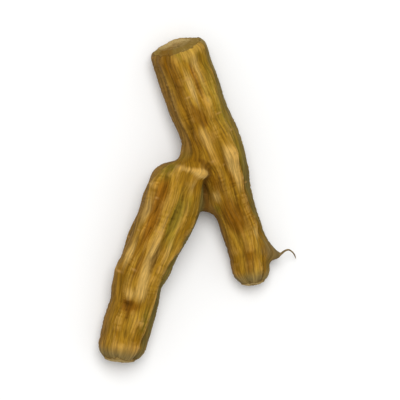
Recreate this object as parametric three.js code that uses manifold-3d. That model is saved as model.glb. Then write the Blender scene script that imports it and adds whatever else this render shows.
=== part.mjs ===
// A piece of dried ginseng root, cut at its ends, that forks in two and lies on a flat surface.
// Millimetres, +Z up, +Y from the feet of the legs to the crown. The origin is on that surface,
// under the middle of the root's box.
import * as THREE from 'three';
import { mergeVertices } from 'three/addons/utils/BufferGeometryUtils.js';
import Module from 'manifold-3d';

// Driving dimensions
const BODY_WIDTH = 4.5; // the main root above the fork, seen from above
const LEG_WIDTH = 3.0; // the main root below the fork
const SIDE_WIDTH = 4.75; // the side root at its thickest
const FLATNESS = 0.88; // a root's height as a share of its width: it dried lying down
const FORK_GAP = 0.3; // space left between the two roots where they are parted
const SLAB = { side: 60, depth: 1 }; // stands for the surface that flattens the underside
const MAIN_COLOUR = '#a27c35';
const SIDE_COLOUR = '#a07630';

// Ends: length of the rounded rim, its breadth as a share of the radius, how far the middle of the
// end stands out of the rim, and how far the end leans: its top and its right side stand back along
// the root by these shares of their height above the underside and of their distance from the middle
const CROWN_END = { rim: 0.75, share: 0.33, dome: 0.06, leanUp: 0.2, leanRight: 0 };
const LEG_END = { rim: 1.3, share: 0.9, dome: 0.03, leanUp: 0.03, leanRight: -0.03 };
const FOOT_END = { rim: 1.45, share: 0.8, dome: 0.03, leanUp: 0.03, leanRight: 0.1 };
const SHOULDER_END = { rim: 1.1, share: 0.5, dome: 0.1, leanUp: 0.05, leanRight: -0.34 };
const TIP_END = { rim: 0.12, share: 0.6, dome: 0.03, leanUp: 0, leanRight: 0 };

// Fineness of the faceted surface
const MAIN_SIDES = 46;
const MAIN_STEPS = 40;
const SIDE_SIDES = 44;
const SIDE_STEPS = 34;
const ROOTLET_SIDES = 10;
const ROOTLET_STEPS = 14;
const WEB_SIDES = 18;
const WEB_STEPS = 6;

// Centrelines. Each station is the place of the root's middle seen from above, its width there, and
// the lift of its underside: a little below zero where the root lies on the surface, flattened by it.
const MAIN_STATIONS = [
  { x: -1.2, y: 12.05, width: BODY_WIDTH, lift: -0.08 },
  { x: -0.07, y: 9.0, width: 0.99 * BODY_WIDTH, lift: -0.12 },
  { x: 1.0, y: 6.0, width: 0.98 * BODY_WIDTH, lift: 0.15 },
  { x: 1.82, y: 4.0, width: BODY_WIDTH, lift: 0.4 },
  { x: 2.7, y: 1.9, width: 1.25 * LEG_WIDTH, lift: 0.5 },
  { x: 3.47, y: -0.6, width: 1.09 * LEG_WIDTH, lift: 0.3 },
  { x: 4.29, y: -2.8, width: 1.05 * LEG_WIDTH, lift: 0.05 },
  { x: 4.73, y: -4.6, width: LEG_WIDTH, lift: -0.12 },
  { x: 5.06, y: -6.85, width: 0.94 * LEG_WIDTH, lift: -0.05 },
];
const SIDE_STATIONS = [
  { x: -0.5, y: 2.8, width: 0.82 * SIDE_WIDTH, lift: 0.75 },
  { x: -1.0, y: 1.4, width: 0.89 * SIDE_WIDTH, lift: 0.65 },
  { x: -1.5, y: -0.4, width: SIDE_WIDTH, lift: 0.5 },
  { x: -2.25, y: -2.4, width: 0.98 * SIDE_WIDTH, lift: 0.35 },
  { x: -3.06, y: -4.3, width: 0.95 * SIDE_WIDTH, lift: 0.25 },
  { x: -3.84, y: -6.2, width: 0.89 * SIDE_WIDTH, lift: 0.15 },
  { x: -4.23, y: -8.1, width: 0.8 * SIDE_WIDTH, lift: 0.0 },
  { x: -4.8, y: -10.1, width: 0.81 * SIDE_WIDTH, lift: -0.12 },
  { x: -5.35, y: -12.6, width: 0.77 * SIDE_WIDTH, lift: -0.06 },
];
// The rootlet is a stump on the leg that ends in a thread
const ROOTLET_STATIONS = [
  { x: 4.7, y: -3.5, width: 1.9, lift: 0.5 },
  { x: 5.8, y: -4.1, width: 1.65, lift: 0.6 },
  { x: 6.6, y: -4.4, width: 0.95, lift: 0.92 },
  { x: 7.15, y: -4.4, width: 0.34, lift: 1.18 },
  { x: 7.65, y: -4.11, width: 0.24, lift: 1.08 },
  { x: 8.1, y: -4.26, width: 0.22, lift: 0.8 },
  { x: 8.45, y: -4.8, width: 0.2, lift: 0.39 },
];
// The web grew in the crotch, and fills it from its edge up to where both roots meet
const WEB_STATIONS = [
  { x: 1.45, y: -1.0, width: 1.9, lift: 0.85 },
  { x: 1.25, y: 0.4, width: 1.9, lift: 0.9 },
  { x: 0.95, y: 1.9, width: 1.9, lift: 1.05 },
];

// Marks on the skin. Places along a root run from 0 at its first station to 1 at its last. Angles are
// degrees round it: 90 faces up, and 0 faces right as seen from above with the crown at the top.
// Shrinkage furrows run along a root, and drift is their turn round it from one end to the other.
const FURROW_FULL = [0.18, 0.8]; // the part of a furrow's length at which it has its full depth
const MAIN_FURROWS = [
  { angle: 131, drift: 8, depth: 0.34, breadth: 18, from: -0.2, to: 0.5 },
  { angle: 100, drift: -8, depth: 0.18, breadth: 14, from: -0.1, to: 0.36 },
  { angle: 88, drift: -10, depth: 0.26, breadth: 14, from: 0.34, to: 0.68 },
  { angle: 58, drift: 6, depth: 0.2, breadth: 14, from: 0.02, to: 0.42 },
  { angle: 28, drift: 10, depth: 0.3, breadth: 17, from: 0.12, to: 1.1 },
  { angle: 120, drift: 4, depth: 0.22, breadth: 16, from: 0.62, to: 1.1 },
  { angle: 168, drift: -6, depth: 0.3, breadth: 17, from: -0.2, to: 0.44 },
  { angle: 205, drift: 10, depth: 0.26, breadth: 16, from: 0.2, to: 0.9 },
  { angle: 243, drift: -8, depth: 0.28, breadth: 15, from: -0.2, to: 0.7 },
  { angle: 282, drift: 8, depth: 0.24, breadth: 15, from: 0.25, to: 1.2 },
  { angle: 325, drift: -10, depth: 0.32, breadth: 17, from: -0.2, to: 0.6 },
];
const SIDE_FURROWS = [
  { angle: 75, drift: 4, depth: 0.36, breadth: 14, from: 0.13, to: 0.6 },
  { angle: 48, drift: 8, depth: 0.16, breadth: 12, from: 0.1, to: 0.5 },
  { angle: 118, drift: 10, depth: 0.3, breadth: 15, from: 0.1, to: 0.55 },
  { angle: 113, drift: -16, depth: 0.24, breadth: 11, from: 0.71, to: 0.93 },
  { angle: 146, drift: -8, depth: 0.26, breadth: 16, from: 0.2, to: 1.1 },
  { angle: 22, drift: 8, depth: 0.3, breadth: 16, from: 0.3, to: 1.2 },
  { angle: 350, drift: -6, depth: 0.26, breadth: 16, from: 0.2, to: 0.8 },
  { angle: 180, drift: 6, depth: 0.28, breadth: 16, from: 0.1, to: 0.7 },
  { angle: 218, drift: 8, depth: 0.26, breadth: 15, from: 0.25, to: 1.2 },
  { angle: 256, drift: -8, depth: 0.24, breadth: 15, from: 0.1, to: 0.8 },
  { angle: 300, drift: 8, depth: 0.28, breadth: 16, from: 0.2, to: 1.2 },
];
// Creases run across a root, from one furrow to another
const MAIN_CREASES = [
  { at: 0.09, depth: 0.12, length: 0.5, angle: 60, breadth: 60 },
  { at: 0.27, depth: 0.16, length: 0.55, angle: 110, breadth: 45 },
  { at: 0.57, depth: 0.14, length: 0.5, angle: 30, breadth: 50 },
  { at: 0.86, depth: 0.14, length: 0.5, angle: 90, breadth: 70 },
];
const SIDE_CREASES = [
  { at: 0.3, depth: 0.12, length: 0.55, angle: 140, breadth: 50 },
  { at: 0.5, depth: 0.12, length: 0.5, angle: 60, breadth: 60 },
  { at: 0.742, depth: 0.24, length: 0.46, angle: 106, breadth: 36 },
  { at: 0.9, depth: 0.12, length: 0.5, angle: 90, breadth: 80 },
];
// Swellings stand up: small ones are the scars of lost rootlets. The first one of the main root is
// its collar over the side root, and the first one of the side root is its corner over the main root
const MAIN_SWELLINGS = [
  { at: 0.42, angle: 178, height: 0.65, radius: 1.5 },
  { at: 0.2, angle: 70, height: 0.2, radius: 0.45 },
  { at: 0.43, angle: 60, height: 0.32, radius: 0.6 },
  { at: 0.34, angle: 178, height: 0.22, radius: 0.45 },
  { at: 0.72, angle: 40, height: 0.2, radius: 0.4 },
];
const SIDE_SWELLINGS = [
  { at: 0.02, angle: 40, height: 0.4, radius: 0.7 },
  { at: 0.18, angle: 150, height: 0.24, radius: 0.5 },
  { at: 0.42, angle: 30, height: 0.2, radius: 0.4 },
  { at: 0.6, angle: 165, height: 0.24, radius: 0.45 },
  { at: 0.82, angle: 70, height: 0.18, radius: 0.4 },
];

const wasm = await Module();
wasm.setup();

const UP = new THREE.Vector3(0, 0, 1);
const { clamp, degToRad, radToDeg, smoothstep, euclideanModulo } = THREE.MathUtils;
const bell = (x) => Math.exp(-x * x);

// Difference of two angles in degrees, from -180 to 180
const turnBetween = (a, b) => euclideanModulo(a - b + 180, 360) - 180;

// A root's smooth form: its centreline, and its half width and half height at each share of its
// length. A form that is grown is thicker by that much all round and longer by it at both ends.
function rootForm(stations, grow = 0) {
  const centres = stations.map((s) => new THREE.Vector3(s.x, s.y, s.lift + (s.width * FLATNESS) / 2));
  const girths = stations.map((s) => new THREE.Vector2(s.width / 2 + grow, (s.width * FLATNESS) / 2 + grow));
  for (const [end, next] of [centres.slice(0, 2), centres.slice(-2).reverse()]) {
    end.addScaledVector(end.clone().sub(next).normalize(), grow);
  }
  const centreline = new THREE.CatmullRomCurve3(centres, false, 'catmullrom', 0.5);
  const girth = new THREE.SplineCurve(girths);
  return { centreline, girth, length: centreline.getLength() };
}

// How far the skin stands out of the smooth form, in millimetres
function relief(form, marks, along, angle) {
  let out = 0;
  for (const f of marks.furrows) {
    const share = (along - f.from) / (f.to - f.from);
    const fade = smoothstep(share, 0, FURROW_FULL[0]) * (1 - smoothstep(share, FURROW_FULL[1], 1));
    out -= f.depth * fade * bell(turnBetween(angle, f.angle + f.drift * share) / f.breadth);
  }
  for (const c of marks.creases) {
    const away = (along - c.at) * form.length;
    out -= c.depth * bell(away / c.length) * bell(turnBetween(angle, c.angle) / c.breadth);
  }
  for (const s of marks.swellings) {
    const away = (along - s.at) * form.length;
    const round = degToRad(turnBetween(angle, s.angle)) * form.girth.getPoint(along).x;
    out += s.height * bell(Math.hypot(away, round) / s.radius);
  }
  return out;
}

// Lathe profile of an end, from its middle over the rim to the full radius: x is the share of the
// radius, y the distance from the end
function endProfile(end) {
  const face = [0, 0.5, 1].map((k) => new THREE.Vector2(k * (1 - end.share), end.dome * k * k));
  const rim = [30, 60, 90].map(degToRad).map((turn) => {
    const rise = (end.rim - end.dome) * (1 - Math.cos(turn));
    return new THREE.Vector2(1 - end.share * (1 - Math.sin(turn)), end.dome + rise);
  });
  return [...face, ...rim];
}

// How far a point of an end stands back along the root because the end leans, in millimetres
function leanBack(end, girth, turn, share) {
  const up = girth.y * (1 + Math.sin(turn) * share);
  return end.leanUp * up + end.leanRight * girth.x * Math.cos(turn) * share;
}

// The solid of a root: a lathe-turned rod of unit radius, bent along the centreline and wrinkled
function rootSolid(form, marks, firstEnd, lastEnd, sides, steps) {
  const first = endProfile(firstEnd).map((p) => new THREE.Vector2(p.x, p.y / form.length));
  const last = endProfile(lastEnd).map((p) => new THREE.Vector2(p.x, 1 - p.y / form.length));
  const start = firstEnd.rim / form.length;
  const span = 1 - start - lastEnd.rim / form.length;
  const flank = [];
  for (let i = 1; i < steps; i++) flank.push(new THREE.Vector2(1, start + (span * i) / steps));
  const skin = welded(new THREE.LatheGeometry([...first, ...flank, ...last.reverse()], sides));
  const place = skin.getAttribute('position');
  for (let i = 0; i < place.count; i++) {
    const at = place.getY(i);
    const share = Math.hypot(place.getX(i), place.getZ(i));
    const turn = Math.atan2(place.getZ(i), place.getX(i));
    const back = leanBack(firstEnd, form.girth.getPoint(0), turn, share) * (1 - at);
    const forth = leanBack(lastEnd, form.girth.getPoint(1), turn, share) * at;
    const reach = at + (back - forth) / form.length;
    const held = clamp(reach, 0, 1); // an end that leans out goes past the centreline's own end
    const along = form.centreline.getUtoTmapping(held);
    const out = relief(form, marks, along, radToDeg(turn));
    const girth = form.girth.getPoint(along);
    const ahead = form.centreline.getTangent(along);
    const right = new THREE.Vector3().crossVectors(UP, ahead).normalize();
    const up = new THREE.Vector3().crossVectors(ahead, right);
    const point = form.centreline.getPoint(along).addScaledVector(ahead, (reach - held) * form.length);
    point.addScaledVector(right, Math.cos(turn) * share * (girth.x + out));
    point.addScaledVector(up, Math.sin(turn) * share * (girth.y + out));
    place.setXYZ(i, point.x, point.y, point.z);
  }
  return solidOf(skin);
}

function welded(geometry) {
  geometry.deleteAttribute('normal');
  geometry.deleteAttribute('uv');
  return mergeVertices(geometry, 1e-5);
}

function solidOf(geometry) {
  const vertProperties = new Float32Array(geometry.attributes.position.array);
  const triVerts = new Uint32Array(geometry.index.array);
  const solid = new wasm.Manifold(new wasm.Mesh({ numProp: 3, vertProperties, triVerts }));
  return solid.volume() > 0 ? solid : solidOf(turnedOut(geometry));
}

// The same surface with its faces turned the other way
function turnedOut(geometry) {
  const corners = geometry.index;
  for (let i = 0; i < corners.count; i += 3) {
    const first = corners.getX(i);
    corners.setX(i, corners.getX(i + 1));
    corners.setX(i + 1, first);
  }
  return geometry;
}

// The surface that the root lies on has pressed its underside flat
function flattened(solid) {
  const slab = new THREE.BoxGeometry(SLAB.side, SLAB.side, SLAB.depth).translate(0, 0, -SLAB.depth / 2);
  return solid.subtract(solidOf(welded(slab)));
}

const mainMarks = { furrows: MAIN_FURROWS, creases: MAIN_CREASES, swellings: MAIN_SWELLINGS };
const sideMarks = { furrows: SIDE_FURROWS, creases: SIDE_CREASES, swellings: SIDE_SWELLINGS };
const noMarks = { furrows: [], creases: [], swellings: [] };

function sideRoot(grow) {
  return rootSolid(rootForm(SIDE_STATIONS, grow), sideMarks, SHOULDER_END, FOOT_END, SIDE_SIDES, SIDE_STEPS);
}

function mainRoot() {
  const form = rootForm(MAIN_STATIONS);
  const limb = rootSolid(form, mainMarks, CROWN_END, LEG_END, MAIN_SIDES, MAIN_STEPS);
  const stub = rootForm(ROOTLET_STATIONS);
  const rootlet = rootSolid(stub, noMarks, TIP_END, TIP_END, ROOTLET_SIDES, ROOTLET_STEPS);
  const web = rootSolid(rootForm(WEB_STATIONS), noMarks, TIP_END, TIP_END, WEB_SIDES, WEB_STEPS);
  return limb.add(rootlet).add(web);
}

function piece(name, solid, colour) {
  const made = solid.getMesh();
  const geometry = new THREE.BufferGeometry();
  geometry.setAttribute('position', new THREE.BufferAttribute(new Float32Array(made.vertProperties), 3));
  geometry.setIndex(new THREE.BufferAttribute(new Uint32Array(made.triVerts), 1));
  const skin = new THREE.MeshStandardMaterial({ color: colour, roughness: 0.75, metalness: 0 });
  const mesh = new THREE.Mesh(geometry, skin);
  mesh.name = name;
  return mesh;
}

const root = new THREE.Group();
root.add(piece('main_root', flattened(mainRoot().subtract(sideRoot(FORK_GAP))), MAIN_COLOUR));
root.add(piece('side_root', flattened(sideRoot(0)), SIDE_COLOUR));

// The origin is under the middle of the whole root
const box = new THREE.Box3().setFromObject(root);
const middle = box.getCenter(new THREE.Vector3());
root.children.forEach((mesh) => mesh.position.set(-middle.x, -middle.y, -box.min.z));

export default root;
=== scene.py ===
# %% [markdown]
# # A forked piece of dried ginseng root
# The object is one piece of dried root, 25 mm long. Its main root forks: a thick side root leaves
# it on the left and the main root goes on as a thinner leg on the right. Both were cut across.
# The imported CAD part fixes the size, the place and the main form. This script dresses it: it grows
# one continuous wrinkled skin over both limbs, and gives the skin its dried, golden brown finish.

import bpy
import numpy as np
from mathutils import Matrix, Vector, noise


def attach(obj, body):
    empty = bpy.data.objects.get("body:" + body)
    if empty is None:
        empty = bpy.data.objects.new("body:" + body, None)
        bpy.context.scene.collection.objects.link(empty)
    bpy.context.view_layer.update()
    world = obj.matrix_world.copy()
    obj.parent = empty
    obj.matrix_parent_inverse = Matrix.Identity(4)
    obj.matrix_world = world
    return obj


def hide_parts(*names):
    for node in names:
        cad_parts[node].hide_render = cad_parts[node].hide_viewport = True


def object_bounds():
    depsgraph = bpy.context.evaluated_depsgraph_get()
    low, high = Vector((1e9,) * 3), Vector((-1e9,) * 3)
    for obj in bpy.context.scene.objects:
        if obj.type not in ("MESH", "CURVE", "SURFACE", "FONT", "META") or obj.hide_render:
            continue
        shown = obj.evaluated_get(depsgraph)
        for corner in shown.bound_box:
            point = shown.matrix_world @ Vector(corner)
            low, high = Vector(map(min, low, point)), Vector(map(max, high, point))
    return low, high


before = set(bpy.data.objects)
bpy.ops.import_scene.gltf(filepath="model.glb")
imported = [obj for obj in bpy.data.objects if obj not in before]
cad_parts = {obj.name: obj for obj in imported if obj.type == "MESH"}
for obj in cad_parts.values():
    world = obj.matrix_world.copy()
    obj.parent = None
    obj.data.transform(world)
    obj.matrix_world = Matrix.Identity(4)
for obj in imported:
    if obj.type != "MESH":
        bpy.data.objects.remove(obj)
cad_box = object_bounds()
print("CAD box in mm:", [[round(1000 * x, 2) for x in corner] for corner in cad_box])

# %% [markdown]
# ## The form of the limbs
# A root limb is a bent rod that swells and thins. The CAD part describes each limb by stations: the
# middle of the limb seen from above, its width there, and how far its underside is lifted. The two
# limbs have the same stations here, so the skin lies where the solids are. The rootlet's stump and
# the thin web in the crotch are plainer in the solids, and have stations of their own. Everything is
# worked out in millimetres, which are handier than metres on a thing this small, and scaled down at
# the end.

# %% Stations along each limb, in millimetres: x, y, width, lift of the underside
MM = 0.001
BODY_WIDTH, LEG_WIDTH, SIDE_WIDTH = 4.5, 3.0, 4.75
FLATNESS = 0.88  # a limb's height as a share of its width
FRAME_SHIFT = np.array([-0.793, 0.161, 0.0])  # from the stations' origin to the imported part's

MAIN_STATIONS = np.array([
    (-1.2, 12.05, BODY_WIDTH, -0.08),
    (-0.07, 9.0, 0.99 * BODY_WIDTH, -0.12),
    (1.0, 6.0, 0.98 * BODY_WIDTH, 0.15),
    (1.82, 4.0, BODY_WIDTH, 0.4),
    (2.7, 1.9, 1.25 * LEG_WIDTH, 0.5),
    (3.47, -0.6, 1.09 * LEG_WIDTH, 0.3),
    (4.29, -2.8, 1.05 * LEG_WIDTH, 0.05),
    (4.73, -4.6, LEG_WIDTH, -0.12),
    (5.06, -6.85, 0.94 * LEG_WIDTH, -0.05),
])
SIDE_STATIONS = np.array([
    (-0.5, 2.8, 0.82 * SIDE_WIDTH, 0.75),
    (-1.0, 1.4, 0.89 * SIDE_WIDTH, 0.65),
    (-1.5, -0.4, SIDE_WIDTH, 0.5),
    (-2.25, -2.4, 0.98 * SIDE_WIDTH, 0.35),
    (-3.06, -4.3, 0.95 * SIDE_WIDTH, 0.25),
    (-3.84, -6.2, 0.89 * SIDE_WIDTH, 0.15),
    (-4.23, -8.1, 0.8 * SIDE_WIDTH, 0.0),
    (-4.8, -10.1, 0.81 * SIDE_WIDTH, -0.12),
    (-5.35, -12.6, 0.77 * SIDE_WIDTH, -0.06),
])
ROOTLET_STATIONS = np.array([
    (4.7, -3.5, 1.9, 0.5),
    (5.8, -4.1, 1.65, 0.6),
    (6.6, -4.4, 0.95, 0.92),
    (7.15, -4.46, 0.4, 1.1),
])
WEB_STATIONS = np.array([  # the web in the crotch, from the side root across to the leg
    (0.2, -0.2, 1.7, 0.9),
    (1.4, -0.35, 1.55, 0.9),
    (2.7, -0.5, 1.7, 0.8),
])

# %% A limb's middle line, directions and half sizes
def unit(vectors):
    return vectors / np.linalg.norm(vectors, axis=-1, keepdims=True)


def through(points, share, hold_ends=False):
    """Points on the smooth curve through the given ones, at shares 0 to 1 of their number."""
    before = points[:1] if hold_ends else 2 * points[:1] - points[1:2]
    after = points[-1:] if hold_ends else 2 * points[-1:] - points[-2:-1]
    knots = np.vstack([before, points, after])
    step = share * (len(points) - 1)
    first = np.minimum(step.astype(int), len(points) - 2)
    u = (step - first)[:, None]
    a, b, c, d = (knots[first + k] for k in range(4))
    return (2 * b + (c - a) * u + (2 * a - 5 * b + 4 * c - d) * u**2 + (3 * b - a - 3 * c + d) * u**3) / 2


class Limb:
    """The smooth form of one limb, as tables along its middle line."""

    SAMPLES = 400
    SPARE = 4.0  # straight length past both ends, so that a point there has a place too
    ROUNDS = 5  # of moving closer to the place on the middle line that a point lies square to

    def __init__(self, stations):
        x, y, width, lift = stations.T
        height = width * FLATNESS
        share = np.linspace(0, 1, self.SAMPLES)
        middle = through(np.column_stack([x, y, lift + height / 2]), share) + FRAME_SHIFT
        half = through(np.column_stack([width, height]) / 2, share, hold_ends=True)
        along = np.r_[0, np.cumsum(np.linalg.norm(np.diff(middle, axis=0), axis=1))]
        ahead = unit(np.gradient(middle, along, axis=0))
        self.length = along[-1]
        ends = self.SPARE * ahead[[0, -1]]
        self.along = np.r_[-self.SPARE, along, self.length + self.SPARE]
        self.middle = np.vstack([middle[0] - ends[0], middle, middle[-1] + ends[1]])
        self.ahead = np.vstack([ahead[:1], ahead, ahead[-1:]])
        self.half = np.vstack([half[:1], half, half[-1:]])
        self.share = np.r_[0, share, 1]

    def at(self, table, along):
        """A table's values at the given places along the limb."""
        return np.column_stack([np.interp(along, self.along, column) for column in table.T])

    def directions(self, along):
        ahead = unit(self.at(self.ahead, along))
        right = unit(np.cross([0.0, 0.0, 1.0], ahead))
        return ahead, right, np.cross(ahead, right)

    def place(self, points):
        """Where points are in the limb: millimetres along it, and to the right and up from its middle."""
        chord = unit(self.middle[-1] - self.middle[0])
        along = np.interp(points @ chord, self.middle @ chord, self.along)
        for _ in range(self.ROUNDS):
            off = points - self.at(self.middle, along)
            along = along + (off * unit(self.at(self.ahead, along))).sum(1)
        off = points - self.at(self.middle, along)
        _, right, up = self.directions(along)
        return along, (off * right).sum(1), (off * up).sum(1)


main, side, rootlet, web = (Limb(s) for s in (MAIN_STATIONS, SIDE_STATIONS, ROOTLET_STATIONS, WEB_STATIONS))
print("limb lengths in mm:", [round(limb.length, 1) for limb in (main, side, rootlet, web)])

# %% [markdown]
# ## Marks of drying
# As the sap leaves a root, its skin becomes too wide for it and folds. Long shrinkage furrows run
# along each limb, shallow creases run across it, and small swellings stand where rootlets were. The
# solids have these marks too, but for the slits: a furrow has a narrow slit in its floor. It also
# wanders as it goes. All could be sculpted by hand, but as lists of places and sizes they are easily
# changed. Angles go round a limb in degrees: 90 faces up and 0 faces right, crown at the top.

# %% Furrows: angle, drift from end to end, depth, breadth, first share and last share of the limb
MAIN_FURROWS = [
    (131, 8, 0.34, 18, -0.2, 0.5), (100, -8, 0.18, 14, -0.1, 0.36), (88, -10, 0.26, 14, 0.34, 0.68),
    (58, 6, 0.2, 14, 0.02, 0.42), (28, 10, 0.3, 17, 0.12, 1.1), (120, 4, 0.22, 16, 0.62, 1.1),
    (168, -6, 0.3, 17, -0.2, 0.44), (205, 10, 0.26, 16, 0.2, 0.9), (243, -8, 0.28, 15, -0.2, 0.7),
    (282, 8, 0.24, 15, 0.25, 1.2), (325, -10, 0.32, 17, -0.2, 0.6),
]
SIDE_FURROWS = [
    (75, 4, 0.36, 14, 0.13, 0.6), (48, 8, 0.16, 12, 0.1, 0.5), (118, 10, 0.3, 15, 0.1, 0.55),
    (113, -16, 0.2, 12, 0.71, 0.93), (146, -8, 0.26, 16, 0.2, 1.1), (22, 8, 0.3, 16, 0.3, 1.2),
    (350, -6, 0.26, 16, 0.2, 0.8), (180, 6, 0.28, 16, 0.1, 0.7), (218, 8, 0.26, 15, 0.25, 1.2),
    (256, -8, 0.24, 15, 0.1, 0.8), (300, 8, 0.28, 16, 0.2, 1.2),
]
FURROW_FULL = (0.18, 0.8)  # the part of its length at which a furrow has its full depth
WANDER = {"degrees": 5.0, "slow": 9.0, "quick": 23.0, "shift": 2.4}  # the waves are in radians
SLIT_DEPTH, SLIT_BREADTH = 0.22, 0.3  # of the furrow's own

# %% Creases and swellings: share of the limb, then their size and angle
# A crease has a depth, a length along the limb, an angle and a breadth in degrees
MAIN_CREASES = [(0.09, 0.12, 0.5, 60, 60), (0.27, 0.16, 0.55, 110, 45), (0.57, 0.14, 0.5, 30, 50),
                (0.86, 0.14, 0.5, 90, 70)]
SIDE_CREASES = [(0.3, 0.12, 0.55, 140, 50), (0.5, 0.12, 0.5, 60, 60), (0.742, 0.18, 0.5, 106, 36),
                (0.9, 0.12, 0.5, 90, 80)]
# A swelling or a scar has an angle, a height and a radius. The main root's swelling is its collar
# over the side root, and the side root's is the corner that laps over the main root
MAIN_SWELLINGS = [(0.43, 178, 0.6, 1.15)]
SIDE_SWELLINGS = [(0.02, 40, 0.4, 0.7)]
MAIN_SCARS = [(0.2, 70, 0.2, 0.45), (0.43, 60, 0.32, 0.6),
              (0.34, 178, 0.22, 0.45), (0.72, 40, 0.2, 0.4)]
SIDE_SCARS = [(0.18, 150, 0.24, 0.5), (0.42, 30, 0.2, 0.4),
              (0.6, 165, 0.24, 0.45), (0.82, 70, 0.18, 0.4)]

# %% Soft steps and bells, turns and noise
def bell(x):
    """A soft bump: 1 at nought, and nearly nothing past 2."""
    return np.exp(-x * x)


def smooth_step(x, low, high):
    """From 0 at low to 1 at high, without a corner."""
    t = np.clip((x - low) / (high - low), 0, 1)
    return t * t * (3 - 2 * t)


def turn_between(a, b):
    """Degrees from b to a, the short way round."""
    return (a - b + 180) % 360 - 180


def waves(points):
    """Smooth noise from about -0.7 to 0.7, with one wave to a unit of length."""
    return np.array([noise.noise(point) for point in points.tolist()])


# %% How far the marks stand out of the smooth form
def scar_distance(limb, scar, share, angle):
    """Millimetres from the middle of a scar or swelling, over the skin."""
    at, turn, _, _ = scar
    around = np.radians(turn_between(angle, turn)) * limb.at(limb.half, at * limb.length)[0, 0]
    return np.hypot((share - at) * limb.length, around)


def relief(limb, marks, share, angle):
    """Millimetres that a limb's marks lift or sink its skin."""
    out = np.zeros_like(share)
    for number, (turn, drift, depth, breadth, first, last) in enumerate(marks["furrows"]):
        part = (share - first) / (last - first)
        full = smooth_step(part, 0, FURROW_FULL[0]) * (1 - smooth_step(part, FURROW_FULL[1], 1))
        wander = np.sin(WANDER["slow"] * share + WANDER["shift"] * number)
        wander = WANDER["degrees"] * wander * np.sin(WANDER["quick"] * share + number)
        away = turn_between(angle, turn + drift * part + wander) / breadth
        out -= depth * full * (bell(away) + SLIT_DEPTH * bell(away / SLIT_BREADTH))
    for at, depth, length, turn, breadth in marks["creases"]:
        across = (share - at) * limb.length / length
        out -= depth * bell(across) * bell(turn_between(angle, turn) / breadth)
    for swelling in marks["swellings"] + marks["scars"]:
        out += swelling[2] * bell(scar_distance(limb, swelling, share, angle) / swelling[3])
    return out


KINDS = ("furrows", "creases", "swellings", "scars")
MARKS = {
    main: dict(zip(KINDS, (MAIN_FURROWS, MAIN_CREASES, MAIN_SWELLINGS, MAIN_SCARS))),
    side: dict(zip(KINDS, (SIDE_FURROWS, SIDE_CREASES, SIDE_SWELLINGS, SIDE_SCARS))),
    rootlet: {kind: [] for kind in KINDS},
    web: {kind: [] for kind in KINDS},
}
for name, limb in (("main root", main), ("side root", side)):
    print(name, "has", {kind: len(MARKS[limb][kind]) for kind in KINDS})

# %% [markdown]
# ## One skin for a forked root
# Two separate bent rods would meet in a hard line, but a root's skin runs over its fork without a
# seam. So the fork is described by distances: for any point, how far it is outside each limb. The
# smaller of the two distances, with its corner rounded off, is the distance to the whole root. The
# corner is wide in the crotch, where a web of skin grew, and narrow on top, where the side root
# lies tight against the main one and a dark crevice is left between them.

# %% Ends: rounding of the rim, how much sharper it is at the upper right, and how the end leans back
CROWN_END = {"rim": 0.75, "sharper": 0.0, "lean_up": 0.2, "lean_right": 0.0, "cut": True}
LEG_END = {"rim": 1.3, "sharper": 0.0, "lean_up": 0.03, "lean_right": -0.03, "cut": True}
FOOT_END = {"rim": 1.45, "sharper": 0.0, "lean_up": 0.03, "lean_right": 0.1, "cut": True}
SHOULDER_END = {"rim": 1.1, "sharper": 0.55, "lean_up": 0.05, "lean_right": -0.34, "cut": False}
TIP_END = {"rim": 0.15, "sharper": 0.0, "lean_up": 0.0, "lean_right": 0.0, "cut": False}
ENDS = {main: (CROWN_END, LEG_END), side: (SHOULDER_END, FOOT_END),
        rootlet: (TIP_END, TIP_END), web: (TIP_END, TIP_END)}
UPPER_RIGHT = (0.2, 0.9)  # from where to where, in half widths and heights, a rim becomes sharper
CUT_REACH = 1.5  # how far back from a cut end its cut is looked for, in roundings of its rim
TINY = 1e-6
LIP = {"along": 0.4, "length": 0.4, "height": 0.2, "angle": 65, "breadth": 50}  # on the shoulder


# %% Distance from the skin of one limb
def ended(limb, distance, along, right, up, half):
    """The distance from a limb's side, cut off at both ends, and degrees of turn towards a cut."""
    cutness = np.zeros_like(along)
    for end, past in zip(ENDS[limb], (-along, along - limb.length)):
        past = past + end["lean_up"] * (up + half[:, 1]) + end["lean_right"] * right
        rim = end["rim"] - end["sharper"] * smooth_step(right / half[:, 0] + up / half[:, 1], *UPPER_RIGHT)
        outwards, endwards = np.maximum(distance + rim, 0), np.maximum(past + rim, 0)
        inside = np.minimum(np.maximum(distance, past) + rim, 0)
        distance = inside + np.hypot(outwards, endwards) - rim
        if end["cut"]:
            turned = np.degrees(np.arctan2(endwards, outwards + TINY))
            cutness = np.maximum(cutness, np.where(past > -CUT_REACH * end["rim"], turned, 0))
    return distance, cutness


def limb_places(limb, points):
    """Each point's place in a limb's own terms, and its distance outside the limb's skin."""
    along, right, up = limb.place(points)
    share = np.interp(along, limb.along, limb.share)
    half = limb.at(limb.half, along)
    angle = np.arctan2(up / half[:, 1], right / half[:, 0])
    out = relief(limb, MARKS[limb], share, np.degrees(angle))
    if limb is side:
        lip = bell((along - LIP["along"]) / LIP["length"])
        out += LIP["height"] * lip * bell(turn_between(np.degrees(angle), LIP["angle"]) / LIP["breadth"])
    girth = half + out[:, None]
    reach = np.hypot(np.cos(angle) * girth[:, 0], np.sin(angle) * girth[:, 1])
    distance, cutness = ended(limb, np.hypot(right, up) - reach, along, right, up, half)
    across = np.column_stack([right, up]) / girth
    return {"distance": distance, "along": along, "share": share, "angle": angle, "across": across,
            "cutness": cutness}


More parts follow.
